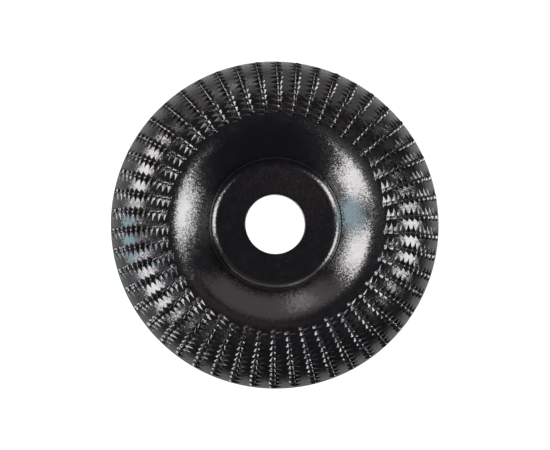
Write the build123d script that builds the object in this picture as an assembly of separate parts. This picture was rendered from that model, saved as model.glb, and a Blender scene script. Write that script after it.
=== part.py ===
"""Carving disc for a 100 mm angle grinder: one pressed steel dish with 50 rows of raised rasp teeth.

Millimetres, +Z up. The origin is the centre of the bore on the back face of the hub, and +Z points
out of the working side, the one that carries the teeth.
"""

from build123d import *
import math
import os

# ---- driving dimensions ----
outside_diameter = 88.5
bore_diameter = 16.0
sheet = 2.5                 # thickness of the pressed plate
hub_flat_radius = 15.5      # flat clamping face round the bore
step_height = 1.1           # shallow step that frames the clamping face
step_angle = 45             # slope of the step, degrees
step_low = 2.5              # section radius of the hollow at the foot of the step
step_high = 0.12            # section radius of the round at the head of the step
bowl_angle = 44.0           # slope at the foot of the bowl, degrees
bowl_radius = 32.4          # section radius of the lower bowl
crest_inner_radius = 12.2   # section radius of the upper bowl, up to the crest
crest_join_angle = 30.0     # slope where the two bowl arcs meet, degrees
crest_ring_radius = 30.4    # radius of the highest ring of the dish
crown_end_angle = 65.0      # slope at the rim, degrees
edge_break = 0.2            # broken edges at the bore and the rim

row_count = 50
row_phase = 3.3             # azimuth of the first row at half its length, degrees
row_lean = 0.5              # outer end of a row ahead of its inner end, degrees
row_middle = 28             # crown angle at the middle of a row, degrees
row_span = 60               # crown angle from end to end of a row, degrees
even_row = dict(first=-1.3, pitch=6.03, teeth=11)   # crown angles, degrees
odd_row = dict(first=-4.4, pitch=5.88, teeth=12)
tooth_height = 0.6
tooth_length = 1.55         # round the disc, from the cutting edge back to the tail
tooth_crest = 0.5           # from the cutting edge back to the highest line
tooth_overhang = 0.08       # how far a tooth's tip stands out over its pit
tip_height = 0.34           # height of the tip itself
peak_over_crest = 0.45      # how far outward of mid-pitch a tooth is highest, in half pitches
peak_at_rim = -0.15
peak_turn = (28, 52)        # crown angles between which it goes from one to the other, degrees
inner_size = 0.88           # size of the innermost tooth, as a share of the full size
inner_fade = (-5, 3)        # crown angles over which a row grows to the full size, degrees
outer_size = 0.90           # size of the tooth at the rim
outer_fade = (30, 61)       # crown angles over which a row shrinks to it, degrees
neck = (0.3, 1.1)           # front and back of the low neck between two teeth
neck_height = 0.08
tail_height = 0.05          # height at the tail, so that a trimmed ridge keeps its full length
root_cover = 0.35           # how far a ridge is sunk before it is trimmed to the plate
pit_depth = 0.30
pit_reach = 2.15            # round the disc, from the cutting line to the pit's point
pit_gap = 0.12              # plain metal left between two pits of one row, on the crown arc
tool_height = 0.4           # how far the pit cutters stand over the plate
tip_sink = 0.01             # depth left at a pit's point
same_size = 1e-3            # radii closer than this are taken as the same edge

# ---- derived section points ----
outer_radius = outside_diameter / 2
bore_radius = bore_diameter / 2
crown_end = math.radians(crown_end_angle)
rim_rounding = edge_break * (math.sin(crown_end) + math.cos(crown_end) - 1)
corner_radius = outer_radius + rim_rounding     # before the rim edge is broken
crown_radius = (corner_radius - crest_ring_radius) / math.sin(crown_end)


def polar(radius, angle):
    """Offset of an arc point whose outward normal leans by angle from +Z, away from the axis."""
    return radius * math.sin(angle), radius * math.cos(angle)


bowl_foot = math.radians(bowl_angle)
crest_join = math.radians(crest_join_angle)
land_z = sheet + step_height
join_r = crest_ring_radius - crest_inner_radius * math.sin(crest_join)
bowl_centre_r = join_r + bowl_radius * math.sin(crest_join)
foot_r = bowl_centre_r - bowl_radius * math.sin(bowl_foot)
bowl_centre_z = land_z - bowl_radius * math.cos(bowl_foot)
crest_centre_z = bowl_centre_z + (bowl_radius - crest_inner_radius) * math.cos(crest_join)
crest_z = crest_centre_z + crest_inner_radius
crown_centre_z = crest_z - crown_radius


def on_bowl(radius, angle):
    dr, dz = polar(radius, angle)
    return bowl_centre_r - dr, bowl_centre_z + dz


def on_crest(radius, angle):
    dr, dz = polar(radius, angle)
    return crest_ring_radius - dr, crest_centre_z + dz


def on_crown(radius, angle):
    dr, dz = polar(radius, angle)
    return crest_ring_radius + dr, crown_centre_z + dz


def dish_section():
    """Closed half section of the plate in the XZ plane."""
    slope = math.radians(step_angle)
    sine, drop = math.sin(slope), 1 - math.cos(slope)
    half_sine, half_drop = math.sin(slope / 2), 1 - math.cos(slope / 2)
    rise = step_height - (step_low + step_high) * drop
    a = (hub_flat_radius + step_low * sine, sheet + step_low * drop)
    b = (a[0] + rise / math.tan(slope), a[1] + rise)
    c = (b[0] + step_high * sine, land_z)
    back_foot = on_bowl(bowl_radius - sheet, bowl_foot)
    bend = back_foot[1] / (1 - math.cos(bowl_foot))
    back_flat = back_foot[0] - bend * math.sin(bowl_foot)
    half = bowl_foot / 2
    rim_front = on_crown(crown_radius, crown_end)
    rim_back = on_crown(crown_radius - sheet, crown_end)

    def between(centre, radius, start, stop, side):
        middle = (start + stop) / 2
        dr, dz = polar(radius, middle)
        return centre[0] + side * dr, centre[1] + dz

    with BuildSketch(Plane.XZ) as section:
        with BuildLine():
            Line((bore_radius, 0), (bore_radius, sheet))
            Line((bore_radius, sheet), (hub_flat_radius, sheet))
            low_mid = (hub_flat_radius + step_low * half_sine, sheet + step_low * half_drop)
            ThreePointArc((hub_flat_radius, sheet), low_mid, a)
            Line(a, b)
            high_mid = (c[0] - step_high * half_sine, land_z - step_high * half_drop)
            ThreePointArc(b, high_mid, c)
            Line(c, (foot_r, land_z))
            bowl_c = (bowl_centre_r, bowl_centre_z)
            crest_c = (crest_ring_radius, crest_centre_z)
            crown_c = (crest_ring_radius, crown_centre_z)
            ThreePointArc(
                (foot_r, land_z),
                between(bowl_c, bowl_radius, bowl_foot, crest_join, -1),
                on_crest(crest_inner_radius, crest_join),
            )
            ThreePointArc(
                on_crest(crest_inner_radius, crest_join),
                between(crest_c, crest_inner_radius, crest_join, 0, -1),
                (crest_ring_radius, crest_z),
            )
            ThreePointArc(
                (crest_ring_radius, crest_z),
                between(crown_c, crown_radius, 0, crown_end, 1),
                rim_front,
            )
            Line(rim_front, rim_back)
            ThreePointArc(
                rim_back,
                between(crown_c, crown_radius - sheet, crown_end, 0, 1),
                (crest_ring_radius, crest_z - sheet),
            )
            ThreePointArc(
                (crest_ring_radius, crest_z - sheet),
                between(crest_c, crest_inner_radius - sheet, 0, crest_join, -1),
                on_crest(crest_inner_radius - sheet, crest_join),
            )
            ThreePointArc(
                on_crest(crest_inner_radius - sheet, crest_join),
                between(bowl_c, bowl_radius - sheet, crest_join, bowl_foot, -1),
                back_foot,
            )
            back_mid = (back_flat + bend * math.sin(half), bend * (1 - math.cos(half)))
            ThreePointArc(back_foot, back_mid, (back_flat, 0))
            Line((back_flat, 0), (bore_radius, 0))
        make_face()
    return section.sketch


def dish():
    """The pressed plate, with its bore and rim edges broken."""
    body = revolve(dish_section(), Axis.Z, 360)
    rim_back_r = on_crown(crown_radius - sheet, crown_end)[0]
    sharp = [
        e
        for e in body.edges().filter_by(GeomType.CIRCLE)
        if min(abs(e.radius - r) for r in (bore_radius, corner_radius, rim_back_r)) < same_size
    ]
    return fillet(sharp, edge_break)


def surface_point(angle, azimuth, height):
    """Point over the working face: angle along the crown arc, azimuth round the disc, degrees."""
    phi = math.radians(angle)
    section = crown_radius if angle >= 0 else crest_inner_radius
    centre_z = crown_centre_z if angle >= 0 else crest_centre_z
    r = crest_ring_radius + (section + height) * math.sin(phi)
    z = centre_z + (section + height) * math.cos(phi)
    turn = math.radians(azimuth)
    return r * math.cos(turn), r * math.sin(turn), z


def share(angle, span):
    """How far an angle lies along a span of angles, from 0 to 1."""
    return min(1.0, max(0.0, (angle - span[0]) / (span[1] - span[0])))


def fade(angle):
    """Tooth size along a row: a little shorter at the inner end and toward the rim."""
    grown = inner_size + (1 - inner_size) * share(angle, inner_fade)
    return grown - (1 - outer_size) * share(angle, outer_fade)


def peak_shift(angle):
    """Place of a tooth's highest point along its pitch, in half pitches outward of the middle."""
    return peak_over_crest + (peak_at_rim - peak_over_crest) * share(angle, peak_turn)


def joint_azimuth(angle):
    """Azimuth of the cutting line of a row, which leans a little along its length."""
    return row_lean * (angle - row_middle) / row_span


def arc_to_azimuth(length, angle):
    """Azimuth turned by a length measured round the disc at a crown angle, degrees."""
    x, y, _ = surface_point(angle, 0, 0)
    return math.degrees(length / math.hypot(x, y))


def faceted(points, triangles):
    """Solid bounded by flat triangles over named points."""
    faces = []
    for names in triangles:
        corners = [points[n] for n in names]
        faces.append(Face(Wire.make_polygon(corners, close=True)))
    return Solid(Shell(faces))


def ridge(row):
    """One row of teeth before trimming: four-sided mounds joined by low necks."""
    points = {}
    triangles = []
    count = row["teeth"]
    for j in range(2 * count + 1):
        angle = row["first"] + row["pitch"] * (j - 1) / 2
        size = fade(angle)
        crest = tooth_crest * size
        if j % 2:
            angle += peak_shift(angle) * row["pitch"] / 2
            tip, apex = (-tooth_overhang, tip_height), (crest, tooth_height)
            back, root = tooth_length * size, 0.0
        else:
            tip, apex = (neck[0] * size, neck_height), (crest, neck_height)
            back, root = neck[1] * size, neck[0] * size
        line = joint_azimuth(angle)
        for name, behind, height in (
            ("f", *tip),
            ("m", *apex),
            ("b", back, tail_height),
            ("F", root, -root_cover),
            ("B", back, -root_cover),
        ):
            azimuth = line - arc_to_azimuth(behind, angle)
            points[name, j] = surface_point(angle, azimuth, height)
    for j in range(2 * count):
        k = j + 1
        f0, f1, m0, m1, b0, b1 = ("f", j), ("f", k), ("m", j), ("m", k), ("b", j), ("b", k)
        g0, g1, c0, c1 = ("F", j), ("F", k), ("B", j), ("B", k)
        if j % 2 == 0:
            triangles += [(f0, f1, m1), (f0, m1, m0), (m0, m1, b0), (m1, b1, b0)]
        else:
            triangles += [(f0, f1, m0), (f1, m1, m0), (m0, m1, b1), (m0, b1, b0)]
        triangles += [(g0, c0, g1), (g1, c0, c1)]
        triangles += [(g0, g1, f0), (g1, f1, f0)]
        triangles += [(b0, b1, c0), (b1, c1, c0)]
    for j, turned in ((0, False), (2 * count, True)):
        f, m, b, g, c = ("f", j), ("m", j), ("b", j), ("F", j), ("B", j)
        for ends in ((f, m, g), (m, b, g), (b, c, g)):
            triangles.append(ends[::-1] if turned else ends)
    return faceted(points, triangles)


def pits(row):
    """Cutting tools for the pointed pits ahead of the teeth of one row."""
    tools = []
    for j in range(row["teeth"]):
        angle = row["first"] + row["pitch"] * j
        half = row["pitch"] / 2 - math.degrees(pit_gap / 2 / crown_radius)
        low, high = angle - half, angle + half
        reach = joint_azimuth(angle) + arc_to_azimuth(pit_reach * fade(angle), angle)
        points = {
            "low": surface_point(low, joint_azimuth(low), 0),
            "high": surface_point(high, joint_azimuth(high), 0),
            "deep": surface_point(angle, joint_azimuth(angle), -pit_depth),
            "tip": surface_point(angle, reach, -tip_sink),
            "low_top": surface_point(low, joint_azimuth(low), tool_height),
            "high_top": surface_point(high, joint_azimuth(high), tool_height),
            "tip_top": surface_point(angle, reach, tool_height),
        }
        triangles = [
            ("low", "tip", "deep"),
            ("deep", "tip", "high"),
            ("low", "deep", "high"),
            ("low", "high", "low_top"),
            ("high", "high_top", "low_top"),
            ("low", "low_top", "tip"),
            ("low_top", "tip_top", "tip"),
            ("high", "tip", "high_top"),
            ("high_top", "tip", "tip_top"),
            ("low_top", "high_top", "tip_top"),
        ]
        tools.append(faceted(points, triangles))
    return tools


plate = dish()
masters = [ridge(even_row) - plate, ridge(odd_row) - plate]
pit_masters = [pits(even_row), pits(odd_row)]

row_turns = [row_phase + k * 360 / row_count for k in range(row_count)]
cutters = []
for k, turn in enumerate(row_turns):
    cutters += [Rotation(0, 0, turn) * tool for tool in pit_masters[k % 2]]
disc_body = plate - cutters

os.makedirs("parts", exist_ok=True)
export_step(disc_body, "parts/disc_body.step")
for k, turn in enumerate(row_turns):
    export_step(Rotation(0, 0, turn) * masters[k % 2], f"parts/tooth_row_{k + 1:02d}.step")
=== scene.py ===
"""Looks of the carving disc: a gloss black pressed dish with rows of punched rasp teeth.

Lengths in the helpers are millimetres in the part's own frame; meshes are written in metres.
Crown angles (phi) are degrees from the top of the crest, growing towards the rim.
"""

import math
import random

import bpy
import numpy as np
from mathutils import Matrix, Vector


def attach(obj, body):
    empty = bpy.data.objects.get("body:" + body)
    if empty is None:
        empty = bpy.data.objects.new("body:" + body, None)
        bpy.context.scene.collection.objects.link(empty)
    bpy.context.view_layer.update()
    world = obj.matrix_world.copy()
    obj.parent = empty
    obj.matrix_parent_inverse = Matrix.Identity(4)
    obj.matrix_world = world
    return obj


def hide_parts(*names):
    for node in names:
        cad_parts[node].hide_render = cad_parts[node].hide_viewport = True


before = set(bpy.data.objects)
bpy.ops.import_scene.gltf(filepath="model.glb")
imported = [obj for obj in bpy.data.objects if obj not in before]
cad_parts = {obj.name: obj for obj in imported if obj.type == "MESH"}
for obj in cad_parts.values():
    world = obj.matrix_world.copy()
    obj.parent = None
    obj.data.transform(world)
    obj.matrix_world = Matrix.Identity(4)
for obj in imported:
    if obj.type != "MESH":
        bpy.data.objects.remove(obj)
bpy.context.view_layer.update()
rng = random.Random(41)

# ---- dimensions shared with the solid model ----
OUTER_R = 44.24
BORE_R = 8.0
SHEET = 2.5
HUB_R = 15.5
STEP = 1.1
STEP_LOW = 2.5              # section radius of the hollow at the foot of the step
STEP_HIGH = 0.12            # section radius of the edge at its top
BOWL_FOOT = math.radians(44.0)
BOWL_RHO = 32.4
CREST_RHO = 12.2
CREST_JOIN = math.radians(30.0)
CREST_R = 30.4
CROWN_END = math.radians(65.0)
EDGE = 0.2
ROWS = 50
ROW_PHASE = 3.3
ROW_LEAN = 0.5              # degrees round the disc over LEAN_SPAN of the crown
LEAN_SPAN = 60
LEAN_ZERO = 28              # crown angle at which a row crosses its own azimuth
EVEN = dict(first=-1.3, pitch=6.03, teeth=11)
ODD = dict(first=-4.4, pitch=5.88, teeth=12)

CORNER_R = OUTER_R + EDGE * (math.sin(CROWN_END) + math.cos(CROWN_END) - 1)
CROWN_RHO = (CORNER_R - CREST_R) / math.sin(CROWN_END)
LAND_Z = SHEET + STEP
JOIN_R = CREST_R - CREST_RHO * math.sin(CREST_JOIN)
BOWL_CR = JOIN_R + BOWL_RHO * math.sin(CREST_JOIN)
BOWL_CZ = LAND_Z - BOWL_RHO * math.cos(BOWL_FOOT)
FOOT_R = BOWL_CR - BOWL_RHO * math.sin(BOWL_FOOT)
CREST_CZ = BOWL_CZ + (BOWL_RHO - CREST_RHO) * math.cos(CREST_JOIN)
CREST_Z = CREST_CZ + CREST_RHO
CROWN_CZ = CREST_Z - CROWN_RHO

# ---- size of the teeth along a row ----
INNER_LOSS = 0.12           # share of its size that a tooth loses at the inner end of a row
INNER_FADE = (-5, 3)        # crown angles over which it grows to the full size
OUTER_LOSS = 0.10           # share that it loses at the rim
OUTER_FADE = (30, 61)       # crown angles over which it shrinks


def portion(value, span):
    """How far a value has come from a span's start, where its end counts as 1."""
    return (value - span[0]) / (span[1] - span[0])


def share(value, span):
    """The same, held between 0 and 1."""
    return np.clip(portion(value, span), 0, 1)


def fade(phi):
    """Size of a tooth along its row: a little shorter at the inner end and towards the rim."""
    if phi < INNER_FADE[1]:
        return 1.0 - INNER_LOSS + INNER_LOSS * max(0.0, portion(phi, INNER_FADE))
    return 1.0 - OUTER_LOSS * max(0.0, portion(phi, OUTER_FADE))


def joint(phi):
    """Azimuth of a row's cutting line at a crown angle, from the row's own azimuth, degrees."""
    return ROW_LEAN * (phi - LEAN_ZERO) / LEAN_SPAN


def row_kind(k):
    return ODD if k % 2 else EVEN


def over(phi_deg, height=0.0):
    """Radius and height of a point over the toothed face, phi in degrees along the crown."""
    phi = np.radians(phi_deg)
    rho = np.where(phi < 0, CREST_RHO, CROWN_RHO)
    cz = np.where(phi < 0, CREST_CZ, CROWN_CZ)
    return CREST_R + (rho + height) * np.sin(phi), cz + (rho + height) * np.cos(phi)


# ---- one random character per tooth, used by both its pit and its scale ----
SCALE_HEIGHT = 0.59
SCALE_LENGTH = 1.55         # round the disc, from the cutting line back to the tail
PIT_DEPTH = 0.30
PIT_REACH = 2.15            # round the disc, from the cutting line to the pit's point
HEIGHT_SPREAD = (0.93, 1.02)
LENGTH_SPREAD = (0.93, 1.07)
PIT_SPREAD = (0.92, 1.06)
SKEW_SPREAD = (-0.07, 0.07)     # how far a pit's point stands aside, over half its pitch

teeth = {}
for k in range(ROWS):
    kind = row_kind(k)
    for j in range(kind["teeth"]):
        phi = kind["first"] + kind["pitch"] * j
        height = SCALE_HEIGHT * rng.uniform(*HEIGHT_SPREAD)
        back = SCALE_LENGTH * fade(phi) * rng.uniform(*LENGTH_SPREAD)
        depth = PIT_DEPTH * rng.uniform(*PIT_SPREAD)
        rng.uniform(*PIT_SPREAD)        # its value has no use, but later draws depend on it
        skew = rng.uniform(*SKEW_SPREAD)
        teeth[k, j] = dict(phi=phi, height=height, back=back, depth=depth, skew=skew)

# ---- the toothed zone of the plate, in columns of samples down the crown ----
PHI_IN = -11.5
PHI_OUT = 64.2
LEAD_IN = 1.2               # crown angle between the first two samples
SPREAD = (-1.0, -0.75, -0.5, -0.25, 0.0, 0.25, 0.5, 0.75)   # samples over a plain pitch
GHOST = 0.9                 # width of the spare samples at the inner end of a shorter row
ACROSS = (-1.0, -0.66, -0.33, 0.0, 0.33, 0.66, 1.0)         # samples across a pit
U_PIT = (0.0, 0.10, 0.22, 0.36, 0.50, 0.64, 0.78, 0.90, 1.0)    # samples along a pit
GAP_STEPS = 4               # steps from a row's pit points to the next row
PIT_WIDTH = 0.96            # share of its pitch that a pit takes at the cutting line
PIT_POINT = 0.02            # share that it takes at its point
PIT_TAPER = 1.12            # how quickly it narrows towards its point
PIT_RISE = 1.05             # how quickly its floor comes up
PIT_FACE = 0.03             # how far ahead of the cutting line a pit is at its full depth
BURR = 0.07                 # height of the roof raised between two pits


def end_samples(kind):
    """Crown angles from the outer end of a row to the end of the toothed zone."""
    end = kind["first"] + kind["pitch"] * (kind["teeth"] - 1) + kind["pitch"] / 2
    return [end, (end + PHI_OUT) / 2, PHI_OUT]


def pit_samples(k, u):
    """Crown angles and heights down one column of row k, u along the pits from 0 to 1."""
    kind = row_kind(k)
    half = kind["pitch"] / 2
    phis, heights = [PHI_IN, PHI_IN + LEAD_IN], [0.0, 0.0]
    if kind is EVEN:
        ghost = kind["first"] - kind["pitch"]
        phis += [ghost + half * v * GHOST for v in SPREAD]
        heights += [0.0] * len(SPREAD)
    width = max(PIT_POINT, PIT_WIDTH * (1 - u) ** PIT_TAPER)
    for j in range(kind["teeth"]):
        t = teeth[k, j]
        bottom = t["depth"] * (1 - u) ** PIT_RISE
        centre = t["phi"] + half * t["skew"] * u
        phis += [t["phi"] - half] + [centre + half * width * v for v in ACROSS]
        burr = BURR * (1 - u) if j else 0.0
        heights += [burr] + [-bottom * (1 - abs(v)) for v in ACROSS]
    end = end_samples(kind)
    return np.array(phis + end), np.array(heights + [0.0] * len(end))


def plain_samples(k):
    """Crown angles of row k with nothing punched, evenly spread."""
    kind = row_kind(k)
    half = kind["pitch"] / 2
    phis = [PHI_IN, PHI_IN + LEAD_IN]
    for j in range(-1 if kind is EVEN else 0, kind["teeth"]):
        scale = GHOST if j < 0 else 1.0
        phis += [kind["first"] + kind["pitch"] * j + half * v * scale for v in SPREAD]
    return np.array(phis + end_samples(kind))


def toothed_columns():
    """All columns round the disc: azimuths, crown angles and heights down each."""
    columns = []
    step = 360 / ROWS
    for k in range(ROWS):
        base = ROW_PHASE + step * k
        phis, _ = pit_samples(k, 0.0)
        columns.append((base + joint(phis), phis, np.zeros_like(phis)))
        for u in U_PIT:
            phis, heights = pit_samples(k, u)
            reach = np.array([PIT_REACH * fade(p) for p in phis])
            r, _ = over(phis)
            az = base + joint(phis) + np.degrees((PIT_FACE + u * reach) / r)
            columns.append((az, phis, heights))
        last_az, last_phi, _ = columns[-1]
        own, other = plain_samples(k), plain_samples((k + 1) % ROWS)
        goal_az = base + step + joint(other)
        for g in range(1, GAP_STEPS):
            w = g / GAP_STEPS
            phis = (1 - w) * ((1 - w) * last_phi + w * own) + w * other
            columns.append(((1 - w) * last_az + w * goal_az, phis, np.zeros_like(phis)))
    return columns


# ---- the rest of the section, as lists of (radius, height) ----
EDGE_POINTS = 9             # points round each broken edge
HUB_POINTS = 12
STEP_LOW_POINTS = 10
STEP_HIGH_POINTS = 5
BOWL_POINTS = 22
CREST_POINTS = 14
FOOT_LEAD = 0.12            # length of the land's last strip, which keeps the bowl's foot crisp
BACK_POINTS = dict(crown=24, crest=9, bowl=12, bend=9, hub=8, bore=5)
BACK_LEAD = 0.02            # angle that the back leaves free after the rim's broken edge, radians


def arc(cr, cz, rho, start, stop, count, side=1):
    """Points of a section arc; angles lean from +Z, away from the axis when side is 1."""
    angles = np.linspace(start, stop, count)
    return [(cr + side * rho * math.sin(a), cz + rho * math.cos(a)) for a in angles]


def rounding(centre, start, stop):
    """Points of a broken edge, from one direction off its centre to another square to it."""
    return [
        tuple(
            c + EDGE * (a * math.cos(t) + b * math.sin(t))
            for c, a, b in zip(centre, start, stop)
        )
        for t in np.linspace(0, math.pi / 2, EDGE_POINTS)
    ]


def front_section():
    """From the bore's front edge over the hub, step, bowl and crest to the toothed zone."""
    quarter = math.pi / 4
    s45 = math.sin(quarter)
    rise = STEP - (STEP_LOW + STEP_HIGH) * (1 - s45)
    top_r = HUB_R + STEP_LOW * s45 + rise
    top_z = SHEET + STEP_LOW * (1 - s45) + rise
    points = arc(BORE_R + EDGE, SHEET - EDGE, EDGE, math.pi / 2, 0, EDGE_POINTS, -1)
    points += [(r, SHEET) for r in np.linspace(BORE_R + EDGE, HUB_R, HUB_POINTS)[1:]]
    points += [
        (HUB_R + STEP_LOW * math.sin(t), SHEET + STEP_LOW * (1 - math.cos(t)))
        for t in np.linspace(0, quarter, STEP_LOW_POINTS)[1:]
    ]
    points += [(top_r, top_z)]
    points += [
        (top_r + STEP_HIGH * (s45 - math.sin(t)), LAND_Z - STEP_HIGH * (1 - math.cos(t)))
        for t in np.linspace(quarter, 0, STEP_HIGH_POINTS)[1:]
    ]
    points += [(FOOT_R - FOOT_LEAD, LAND_Z), (FOOT_R, LAND_Z)]
    points += arc(BOWL_CR, BOWL_CZ, BOWL_RHO, BOWL_FOOT, CREST_JOIN, BOWL_POINTS, -1)[1:]
    zone = math.radians(-PHI_IN)
    points += arc(CREST_R, CREST_CZ, CREST_RHO, CREST_JOIN, zone, CREST_POINTS, -1)[1:-1]
    return points


def back_section():
    """From the toothed zone round the rim, over the back and up the bore."""
    down = (math.cos(CROWN_END), -math.sin(CROWN_END))
    normal = (math.sin(CROWN_END), math.cos(CROWN_END))
    corner = (
        CREST_R + CROWN_RHO * math.sin(CROWN_END),
        CROWN_CZ + CROWN_RHO * math.cos(CROWN_END),
    )
    front = tuple(c - EDGE * (d + n) for c, d, n in zip(corner, down, normal))
    back = tuple(c - (SHEET - EDGE) * n - EDGE * d for c, d, n in zip(corner, down, normal))
    points = rounding(front, normal, down)
    points += rounding(back, down, (-normal[0], -normal[1]))

    count = BACK_POINTS
    rim = CROWN_END - BACK_LEAD
    points += arc(CREST_R, CROWN_CZ, CROWN_RHO - SHEET, rim, 0, count["crown"])
    points += arc(CREST_R, CREST_CZ, CREST_RHO - SHEET, 0, CREST_JOIN, count["crest"], -1)[1:]
    bowl = arc(BOWL_CR, BOWL_CZ, BOWL_RHO - SHEET, CREST_JOIN, BOWL_FOOT, count["bowl"], -1)
    points += bowl[1:]
    foot_r, foot_z = points[-1]
    bend = foot_z / (1 - math.cos(BOWL_FOOT))
    flat = foot_r - bend * math.sin(BOWL_FOOT)
    points += [
        (flat + bend * math.sin(t), bend * (1 - math.cos(t)))
        for t in np.linspace(BOWL_FOOT, 0, count["bend"])[1:]
    ]
    points += [(r, 0.0) for r in np.linspace(flat, BORE_R + EDGE, count["hub"])[1:-1]]
    points += rounding((BORE_R + EDGE, EDGE), (0, -1), (-1, 0))
    points += [(BORE_R, z) for z in np.linspace(EDGE, SHEET - EDGE, count["bore"])[1:-1]]
    return points


# ---- meshes ----
PLATE_CREASE = 13           # edges of the plate that turn more than this are sharp, degrees
ROW_CREASE = 42
CROWN_BLEND = (9, 21)       # crown angles over which the "crown" attribute grows from 0 to 1, deepening the pits' painted shade


def make_object(name, points, quads, attributes, sharp_deg):
    """Smooth-shaded mesh object from millimetre points, with float point attributes."""
    mesh = bpy.data.meshes.new(name)
    mesh.vertices.add(len(points))
    mesh.vertices.foreach_set("co", (np.asarray(points, np.float32) / 1000).ravel())
    loops = np.asarray(quads, np.int32)
    mesh.loops.add(loops.size)
    mesh.loops.foreach_set("vertex_index", loops.ravel())
    mesh.polygons.add(len(loops))
    mesh.polygons.foreach_set("loop_start", np.arange(0, loops.size, 4, dtype=np.int32))
    mesh.update(calc_edges=True)
    mesh.polygons.foreach_set("use_smooth", np.ones(len(loops), bool))
    for key, values in attributes.items():
        layer = mesh.attributes.new(key, "FLOAT", "POINT")
        layer.data.foreach_set("value", np.asarray(values, np.float32))
    mesh.set_sharp_from_angle(angle=math.radians(sharp_deg))
    mesh.validate()
    mesh.update()
    piece = bpy.data.objects.new(name, mesh)
    bpy.context.scene.collection.objects.link(piece)
    return piece


def build_body():
    """The pressed plate and its pits: one closed grid, a section to each column."""
    columns = toothed_columns()
    inner, outer = np.array(front_section()), np.array(back_section())
    before, after = len(inner), len(outer)
    ahead = joint(PHI_OUT) - joint(PHI_IN)
    grid, raised, crown = [], [], []
    for i, (az, phis, heights) in enumerate(columns):
        r, z = over(phis, heights)
        even = ROW_PHASE + joint(PHI_IN) + 360 * i / len(columns)
        rr = np.concatenate([inner[:, 0], r, outer[:, 0]])
        zz = np.concatenate([inner[:, 1], z, outer[:, 1]])
        t = np.radians(np.concatenate([np.full(before, even), az, np.full(after, even + ahead)]))
        grid.append(np.stack([rr * np.cos(t), rr * np.sin(t), zz], 1))
        raised.append(np.pad(heights, (before, after)))
        over_crown = share(phis, CROWN_BLEND)
        crown.append(np.concatenate([np.zeros(before), over_crown, np.ones(after)]))
    grid = np.array(grid)
    ids = np.arange(grid.shape[0] * grid.shape[1]).reshape(grid.shape[:2])
    beside = np.roll(ids, -1, 0)
    corners = [ids, np.roll(ids, -1, 1), np.roll(beside, -1, 1), beside]
    quads = np.stack(corners, -1).reshape(-1, 4)
    attributes = {"sunk": -np.array(raised).ravel(), "crown": np.array(crown).ravel()}
    return make_object("disc_plate", grid.reshape(-1, 3), quads, attributes, PLATE_CREASE)


# ---- scales ----
# samples over a scale: along its pitch from -1 inside to 1 outside, and from front to tail
V_STEPS = np.array([-1, -0.9, -0.75, -0.55, -0.35, -0.15, 0.05, 0.25, 0.40, 0.55, 0.70, 0.85, 1])
U_STEPS = np.array([0, 0.05, 0.11, 0.20, 0.32, 0.46, 0.60, 0.73, 0.84, 0.93, 1.0])
BEVEL = 3.2                 # how quickly the scale rounds off towards its cutting edge
CREST_U = 0.25              # where from front to tail its mound is highest
OVERHANG = 0.08             # how far a tooth's tip stands out over its pit
NOSE_AT = 0.42              # where from front to tail a scale narrows to at both its ends
VALLEY = 0.02               # height of the row between two scales
ROOT = -0.12                # height of the buried foot of a row
WORN_WIDTH = 0.16           # how far behind the cutting edge the wear ends
WORN_HEIGHT = 0.55          # height at which an edge has its full wear

# from the first value to the second over the crown angles STEEP
STEEP = (28, 52)
PEAK_V = (0.45, -0.15)      # where along its pitch a tooth is highest
NOSE = (0.18, 0.62)         # share of a scale's width left at its ends
HOLLOW = (1.1, 1.35)        # how hollow the valleys between the scales are
WORN = (1.0, 0.1)           # how far the coating is worn off at the cutting edge
LIP = (0.68, 0.84)          # height of the cutting edge over that of the mound behind it

# from the first value to the second over the crown angles PAST
PAST = (8, 28)
TAIL = (1.8, 2.9)           # how quickly a scale rounds off towards its tail
LENGTH = (1.02, 1.22)       # factor on the scale's drawn length

FIRST = (0.20, 0.50)        # in place of PEAK_V and NOSE on a row's first tooth, which is fuller


def scale_lines(k):
    """Section lines of row k's scales: crown angle, heights, offsets back and wear of each."""
    kind = row_kind(k)
    half = kind["pitch"] / 2
    lines = []
    for j in range(kind["teeth"]):
        t = teeth[k, j]
        steep, past = share(t["phi"], STEEP), share(t["phi"], PAST)
        peak_v, narrow, lip, hollow, worn = (
            a + (b - a) * steep for a, b in (PEAK_V, NOSE, LIP, HOLLOW, WORN)
        )
        tail, longer = (a + (b - a) * past for a, b in (TAIL, LENGTH))
        if j == 0:
            peak_v, narrow = FIRST
        # a scale's last line is the next one's first
        for v in V_STEPS[:-1] if j < kind["teeth"] - 1 else V_STEPS:
            rise = (v + 1) / (peak_v + 1) if v < peak_v else (1 - v) / (1 - peak_v)
            rise = rise**hollow
            peak = VALLEY + (t["height"] - VALLEY) * rise
            broad = narrow + (1 - narrow) * rise
            nose = NOSE_AT * t["back"]
            front = nose * (1 - broad) - OVERHANG * rise
            length = nose + (t["back"] * longer - nose) * broad
            heights = peak * np.where(
                U_STEPS < CREST_U,
                1 - (1 - lip) * np.maximum(0, 1 - U_STEPS / CREST_U) ** BEVEL,
                1 - (np.maximum(0, U_STEPS - CREST_U) / (1 - CREST_U)) ** tail,
            )
            offsets = front + U_STEPS * (length - front)
            lines.append((t["phi"] + half * v, heights, offsets, worn))
    return lines


def row_quads(lines, width):
    """Quads of a closed bar: the sides between its lines, and a ladder over each end."""
    quads = []
    for i in range(lines - 1):
        for q in range(width - 1):
            a = i * width + q
            quads.append((a, a + width, a + width + 1, a + 1))
        start, beside = i * width, (i + 1) * width
        quads.append((start + width - 1, beside + width - 1, beside, start))
    first = list(range(width))
    last = [(lines - 1) * width + q for q in range(width)]
    for loop in (first, last[::-1]):
        low, high = 0, width - 1
        while high - low >= 3:
            quads.append((loop[low], loop[low + 1], loop[high - 1], loop[high]))
            low, high = low + 1, high - 1
    return quads


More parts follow.
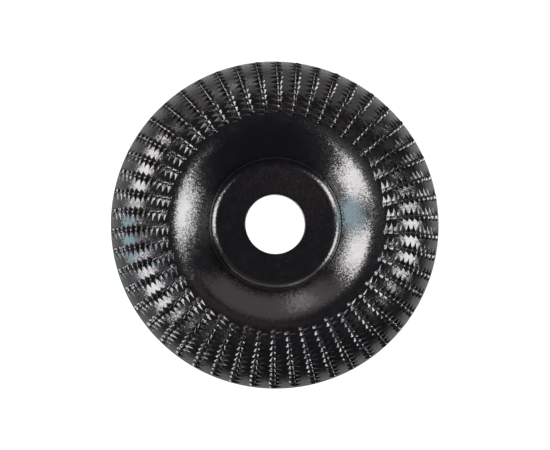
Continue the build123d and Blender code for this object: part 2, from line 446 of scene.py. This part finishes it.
def build_row(k):
    """One row of raised scales: a serrated wall at the cutting line, rounded off behind it."""
    lines = scale_lines(k)
    base = ROW_PHASE + 360 / ROWS * k
    points, edge = [], []
    for phi, heights, offsets, worn in lines:
        r0, _ = over(phi)
        az = base + joint(phi)
        # buried root of the cutting face, its foot, the top from front to tail, the buried back
        wall = [(0.0, ROOT), (0.0, 0.0)]
        column = wall + list(zip(offsets, heights)) + [(offsets[-1], ROOT)]
        for i, (offset, height) in enumerate(column):
            r, z = over(phi, height)
            t = math.radians(az - math.degrees(offset / float(r0)))
            points.append((float(r) * math.cos(t), float(r) * math.sin(t), float(z)))
            near = max(0.0, 1 - max(0.0, offset) / WORN_WIDTH)
            on_top = i >= len(wall)
            edge.append(worn * near * max(0.0, height) / WORN_HEIGHT if on_top else 0.0)
    quads = row_quads(len(lines), len(column))
    return make_object(f"rasp_row_{k + 1:02d}", points, quads, {"edge": edge}, ROW_CREASE)


# ---- materials ----
IOR = 1.5
COAT_WEIGHT = 0.05
COAT_ROUGHNESS = 0.34
BLACKS = ((0.0004, 0.00035, 0.00035, 1), (0.0011, 0.0009, 0.0009, 1))
DUST = (0.05, 0.05, 0.048, 1)
STEEL = (0.30, 0.30, 0.31, 1)
GLOSS = (0.14, 0.22)        # roughness of the coating, from its shiniest to its dullest
BARE = 0.25                 # how much of the steel shows where an edge is worn most
SHINE = 0.5                 # specular level of the plate's coating outside the pits
PIT_SHADED_SHINE = (0.46, 0.12)    # painted shade in the pits: their lowered specular level, at the crest and over the crown
PIT_ROUGHNESS = 0.20
PIT_START = (0.02, 0.13)    # depths over which the pits' rougher finish and painted shade come in, mm
PEEL = 0.115                # spread of the orange peel's tilts
WAVE = 0.000004             # height of the soft wave under it, metres

# scales of the textures, and the parts of their values that are used
DRIFT_SCALE = 90.0
DUST_SCALE = 900.0
DUST_SIZE = (0.10, 0.04)    # from the border of a speck to where it is palest
PATCH_SCALE = 260.0
PATCHES = (0.60, 0.68)      # from where there is no dust to where there is most
CLOUD_SCALE = 420.0
CLOUDS = (0.3, 0.7)
CHIP_SCALE = 2600.0
CHIPS = (0.34, 0.60)        # from where the coating is whole to where it is worn most
PEEL_SCALE = 3900.0
WAVE_SCALE = 1500.0


def node(tree, kind, **values):
    """New node, with the given inputs and settings."""
    made = tree.nodes.new(kind)
    for key, value in values.items():
        if key in made.inputs:
            made.inputs[key].default_value = value
        else:
            setattr(made, key, value)
    return made


def texture(tree, kind, where, **values):
    """New texture node that is looked up at a position."""
    made = node(tree, kind, **values)
    tree.links.new(where, made.inputs["Vector"])
    return made


def remap(tree, value, source=(0.0, 1.0), target=(0.0, 1.0), **settings):
    """New node that maps a value from one range to another."""
    made = node(tree, "ShaderNodeMapRange", **settings)
    names = ("From Min", "From Max", "To Min", "To Max")
    for name, number in zip(names, (*source, *target)):
        made.inputs[name].default_value = number
    tree.links.new(value, made.inputs["Value"])
    return made


def mixed(tree, factor, start, end, data_type):
    """Result of a mix from a linked value to a fixed one."""
    made = node(tree, "ShaderNodeMix", data_type=data_type)
    made.inputs["B"].default_value = end
    tree.links.new(factor, made.inputs["Factor"])
    tree.links.new(start, made.inputs["A"])
    return made.outputs["Result"]


def product(tree, first, second):
    made = node(tree, "ShaderNodeMath", operation="MULTIPLY")
    tree.links.new(first, made.inputs[0])
    tree.links.new(second, made.inputs[1])
    return made.outputs[0]


def black_colour(tree, where):
    """A warm black with slow drift and sparse pale dust."""
    drift = texture(tree, "ShaderNodeTexNoise", where, Scale=DRIFT_SCALE, Detail=3.0)
    tone = node(tree, "ShaderNodeValToRGB")
    for element, colour in zip(tone.color_ramp.elements, BLACKS):
        element.color = colour
    tree.links.new(drift.outputs["Fac"], tone.inputs["Fac"])
    dust = texture(tree, "ShaderNodeTexVoronoi", where, Scale=DUST_SCALE)
    speck = remap(tree, dust.outputs["Distance"], DUST_SIZE)
    sparse = texture(tree, "ShaderNodeTexNoise", where, Scale=PATCH_SCALE, Detail=1.0)
    gate = remap(tree, sparse.outputs["Fac"], PATCHES)
    dusty = product(tree, speck.outputs["Result"], gate.outputs["Result"])
    return mixed(tree, dusty, tone.outputs["Color"], DUST, "RGBA")


def uneven_gloss(tree, where):
    cloudy = texture(tree, "ShaderNodeTexNoise", where, Scale=CLOUD_SCALE, Detail=4.0)
    return remap(tree, cloudy.outputs["Fac"], CLOUDS, GLOSS).outputs["Result"]


def worn_colour(tree, where, shader, attribute, colour):
    """Colour with bare steel along the cutting edges, which the shader also gets as metal."""
    worn = node(tree, "ShaderNodeAttribute", attribute_name=attribute)
    chips = texture(tree, "ShaderNodeTexNoise", where, Scale=CHIP_SCALE, Detail=3.0)
    both = product(tree, worn.outputs["Fac"], chips.outputs["Fac"])
    amount = remap(tree, both, CHIPS, (0.0, BARE)).outputs["Result"]
    tree.links.new(amount, shader.inputs["Metallic"])
    return mixed(tree, amount, colour, STEEL, "RGBA")


def pit_rough_and_shaded(tree, shader, depth_attribute, crown_attribute, rough):
    """Roughness with the pits' own in it; the pits' painted shade, a lower specular level that
    stands in for the shadow in them, goes to the shader.
    """
    sunk = node(tree, "ShaderNodeAttribute", attribute_name=depth_attribute)
    depth = sunk.outputs["Fac"]
    pit_shade_and_rough_mask = remap(tree, depth, PIT_START, interpolation_type="SMOOTHSTEP").outputs["Result"]
    slope = node(tree, "ShaderNodeAttribute", attribute_name=crown_attribute)
    shine = remap(tree, slope.outputs["Fac"], target=PIT_SHADED_SHINE)
    # painted shade in the pits: the specular level falls from SHINE on the face to the crown's
    # pit value as they deepen
    painted_pit_shade = remap(tree, pit_shade_and_rough_mask, target=(SHINE, 1.0))
    tree.links.new(shine.outputs["Result"], painted_pit_shade.inputs["To Max"])
    tree.links.new(painted_pit_shade.outputs["Result"], shader.inputs["Specular IOR Level"])
    return mixed(tree, pit_shade_and_rough_mask, rough, PIT_ROUGHNESS, "FLOAT")


def orange_peel(tree, where):
    """Normals of small patches, each tilted its own way, over a soft wave."""
    link = tree.links.new
    grain = texture(tree, "ShaderNodeTexVoronoi", where, Scale=PEEL_SCALE)
    centred = node(tree, "ShaderNodeVectorMath", operation="SUBTRACT")
    centred.inputs[1].default_value = (0.5, 0.5, 0.5)
    link(grain.outputs["Color"], centred.inputs[0])
    tilt = node(tree, "ShaderNodeVectorMath", operation="SCALE")
    tilt.inputs["Scale"].default_value = PEEL
    link(centred.outputs["Vector"], tilt.inputs[0])
    wave = texture(tree, "ShaderNodeTexNoise", where, Scale=WAVE_SCALE, Detail=2.0)
    bump = node(tree, "ShaderNodeBump", Strength=1.0, Distance=WAVE)
    link(wave.outputs["Fac"], bump.inputs["Height"])
    tilted = node(tree, "ShaderNodeVectorMath", operation="ADD")
    link(bump.outputs["Normal"], tilted.inputs[0])
    link(tilt.outputs["Vector"], tilted.inputs[1])
    unit = node(tree, "ShaderNodeVectorMath", operation="NORMALIZE")
    link(tilted.outputs["Vector"], unit.inputs[0])
    return unit.outputs["Vector"]


def gloss_black(name, edge_attribute=None, pit_attributes=None):
    """Gloss black coating on steel: orange peel, faint dust, worn edges, and pits that are
    rougher and carry a painted shade.

    edge_attribute names the wear of the edges; pit_attributes name the depth below the face
    and the place on the crown.
    """
    material = bpy.data.materials.new(name)
    material.use_nodes = True
    tree = material.node_tree
    tree.nodes.clear()
    link = tree.links.new
    out = node(tree, "ShaderNodeOutputMaterial")
    shader = node(tree, "ShaderNodeBsdfPrincipled", IOR=IOR)
    shader.inputs["Coat Weight"].default_value = COAT_WEIGHT
    shader.inputs["Coat Roughness"].default_value = COAT_ROUGHNESS
    link(shader.outputs["BSDF"], out.inputs["Surface"])
    where = node(tree, "ShaderNodeTexCoord").outputs["Object"]
    colour, rough = black_colour(tree, where), uneven_gloss(tree, where)
    if edge_attribute:
        colour = worn_colour(tree, where, shader, edge_attribute, colour)
    if pit_attributes:
        rough = pit_rough_and_shaded(tree, shader, *pit_attributes, rough)
    link(colour, shader.inputs["Base Color"])
    link(rough, shader.inputs["Roughness"])
    link(orange_peel(tree, where), shader.inputs["Normal"])
    return material


plate_coat = gloss_black("coating_plate", pit_attributes=("sunk", "crown"))
tooth_coat = gloss_black("coating_teeth", edge_attribute="edge")

body = build_body()
body.data.materials.append(plate_coat)
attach(body, "root")
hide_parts("disc_body")
for k in range(ROWS):
    row = build_row(k)
    row.data.materials.append(tooth_coat)
    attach(row, "root")
    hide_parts(f"tooth_row_{k + 1:02d}")


# ---- floor ----
FLOOR_Z = -0.0001           # just clear of the hub's back face, metres
FLOOR_HALF = 3.0            # half the floor's width, metres
FLOOR_TONE = (0.12, 0.12, 0.12, 1)
FLOOR_ROUGHNESS = 0.9
FLOOR_SHINE = 0.1
FLOOR_GLOW = 0.97
SHEET_R = (0.056, 0.078)    # where the bright sheet under the disc ends, metres
ROOM_FRONT = 0.10           # glow of the room further out, at the front and at the back
ROOM_BACK = 0.60


def mirrored_glow(tree):
    """What the disc mirrors: a bright sheet close round it, and a dimmer room further out."""
    link = tree.links.new
    where = node(tree, "ShaderNodeNewGeometry").outputs["Position"]
    reach = node(tree, "ShaderNodeVectorMath", operation="LENGTH")
    link(where, reach.inputs[0])
    away = remap(tree, reach.outputs["Value"], SHEET_R, interpolation_type="SMOOTHSTEP")
    bearing = node(tree, "ShaderNodeVectorMath", operation="NORMALIZE")
    link(where, bearing.inputs[0])
    parts = node(tree, "ShaderNodeSeparateXYZ")
    link(bearing.outputs["Vector"], parts.inputs[0])
    room = remap(tree, parts.outputs["Y"], (-1.0, 1.0), (ROOM_FRONT, ROOM_BACK))
    glow = node(tree, "ShaderNodeMix", data_type="FLOAT")
    glow.inputs["A"].default_value = FLOOR_GLOW
    link(away.outputs["Result"], glow.inputs["Factor"])
    link(room.outputs["Result"], glow.inputs["B"])
    return glow.outputs["Result"]


def floor():
    """Plain pale floor, which the camera sees evenly white."""
    mesh = bpy.data.meshes.new("floor")
    s = FLOOR_HALF
    corners = [(-s, -s, FLOOR_Z), (s, -s, FLOOR_Z), (s, s, FLOOR_Z), (-s, s, FLOOR_Z)]
    mesh.from_pydata(corners, [], [(0, 1, 2, 3)])
    piece = bpy.data.objects.new("floor", mesh)
    bpy.context.scene.collection.objects.link(piece)
    material = bpy.data.materials.new("pale_floor")
    material.use_nodes = True
    tree = material.node_tree
    shader = tree.nodes["Principled BSDF"]
    shader.inputs["Base Color"].default_value = FLOOR_TONE
    shader.inputs["Roughness"].default_value = FLOOR_ROUGHNESS
    shader.inputs["Specular IOR Level"].default_value = FLOOR_SHINE
    shader.inputs["Emission Color"].default_value = (1, 1, 1, 1)
    camera_ray = node(tree, "ShaderNodeLightPath").outputs["Is Camera Ray"]
    seen = mixed(tree, camera_ray, mirrored_glow(tree), FLOOR_GLOW, "FLOAT")
    tree.links.new(seen, shader.inputs["Emission Strength"])
    mesh.materials.append(material)


# ---- lights ----
AIM = Vector((0, 0, 0.005))     # point that the softboxes face, metres
FEATHER = ((0.80, 0.33), (0.97, 0.40), (1.13, 0.27))    # scale and share of each box in one
FEATHER_GAP = 0.02              # distance from each of those boxes to the next
CEILING_AT = (0.028, 0.052, 0.15)
CEILING_TINT = (1.0, 0.72, 0.76)
WORLD_TINT = (0.78, 0.76, 1.0, 1)
WORLD_GLOW = 0.13


def add_light(name, shape, size):
    """New area light, and its object in the scene."""
    light = bpy.data.lights.new(name, "AREA")
    light.shape = shape
    light.size = size
    lamp = bpy.data.objects.new(name, light)
    bpy.context.scene.collection.objects.link(lamp)
    return light, lamp


def softbox(name, azimuth, elevation, spread, rise, radiance, colour=(1, 1, 1), distance=1.0):
    """Area light seen from the disc as a patch of the given angular size, degrees."""
    az, el = math.radians(azimuth), math.radians(elevation)
    width = 2 * distance * math.cos(el) * math.tan(math.radians(spread / 2))
    light, lamp = add_light(name, "RECTANGLE", width)
    light.size_y = 2 * distance * math.tan(math.radians(rise / 2))
    light.energy = radiance * math.pi * light.size * light.size_y
    light.color = colour
    direction = Vector((math.cos(az) * math.cos(el), math.sin(az) * math.cos(el), math.sin(el)))
    lamp.location = direction * distance + AIM
    lamp.rotation_euler = direction.to_track_quat("Z", "Y").to_euler()


def feathered(name, azimuth, elevation, spread, rise, radiance, colour=(1, 1, 1)):
    """Softbox with a soft border: three boxes, one inside the other."""
    for i, (scale, part) in enumerate(FEATHER):
        softbox(
            f"{name}_{i + 1}", azimuth, elevation, spread * scale, rise * scale,
            radiance * part, colour, 1.0 + FEATHER_GAP * i,
        )


def ceiling(name, radius, radiance):
    """Dim disc light overhead: the soft patch in the flat hub."""
    light, lamp = add_light(name, "DISK", 2 * radius)
    light.energy = radiance * math.pi * math.pi * radius**2
    light.color = CEILING_TINT
    lamp.location = CEILING_AT
    lamp.visible_camera = False


floor()
# azimuth, elevation, spread and rise in degrees, then radiance and colour
feathered("key_right", -0.5, 39.5, 31, 37, 18.5)
feathered("fill_left_a", 206, 39.5, 28, 37, 19.5, (1.0, 0.96, 0.98))
feathered("fill_left_b", 154.5, 30, 31, 30, 18.0, (1.0, 0.97, 0.98))
softbox("fill_left_gap", 183, 17, 22, 28, 7.0, (0.62, 0.90, 1.0))
softbox("fill_left_low", 180, 8, 76, 14, 1.35)
softbox("over_left", 205, 68, 60, 26, 0.75)
softbox("back_wall", 85, 24, 84, 46, 1.0, (1.0, 0.90, 0.93))
softbox("back_spot", 103, 20, 14, 18, 2.4)
# radius in metres, then radiance
ceiling("ceiling_wide", 0.030, 0.42)
ceiling("ceiling_middle", 0.020, 0.42)

world = bpy.data.worlds.new("studio")
world.use_nodes = True
background = world.node_tree.nodes["Background"]
background.inputs["Color"].default_value = WORLD_TINT
background.inputs["Strength"].default_value = WORLD_GLOW
bpy.context.scene.world = world

# ---- camera ----
CAMERA_DISTANCE = 1.2       # metres
CAMERA_TILT = (3.0, 4.6)    # degrees off straight down, towards -X and towards -Y
CAMERA_TARGET = Vector((0.0, -0.0001, 0.0011))
SENSOR = 36.0
WIDTH_SEEN = 0.148225       # width of the picture at the disc, metres
CLIP_END = 50

camera_data = bpy.data.cameras.new("camera")
camera = bpy.data.objects.new("camera", camera_data)
bpy.context.scene.collection.objects.link(camera)
camera_data.sensor_width = SENSOR
camera_data.lens = SENSOR * CAMERA_DISTANCE / WIDTH_SEEN
camera_data.clip_end = CLIP_END
lean_x, lean_y = (-math.tan(math.radians(angle)) for angle in CAMERA_TILT)
towards = Vector((lean_x, lean_y, 1.0)).normalized()
camera.location = CAMERA_TARGET + towards * CAMERA_DISTANCE
right = Vector((0, 1, 0)).cross(towards).normalized()
camera.rotation_euler = Matrix((right, towards.cross(right), towards)).transposed().to_euler()
bpy.context.scene.camera = camera
bpy.context.scene.view_settings.view_transform = "Standard"
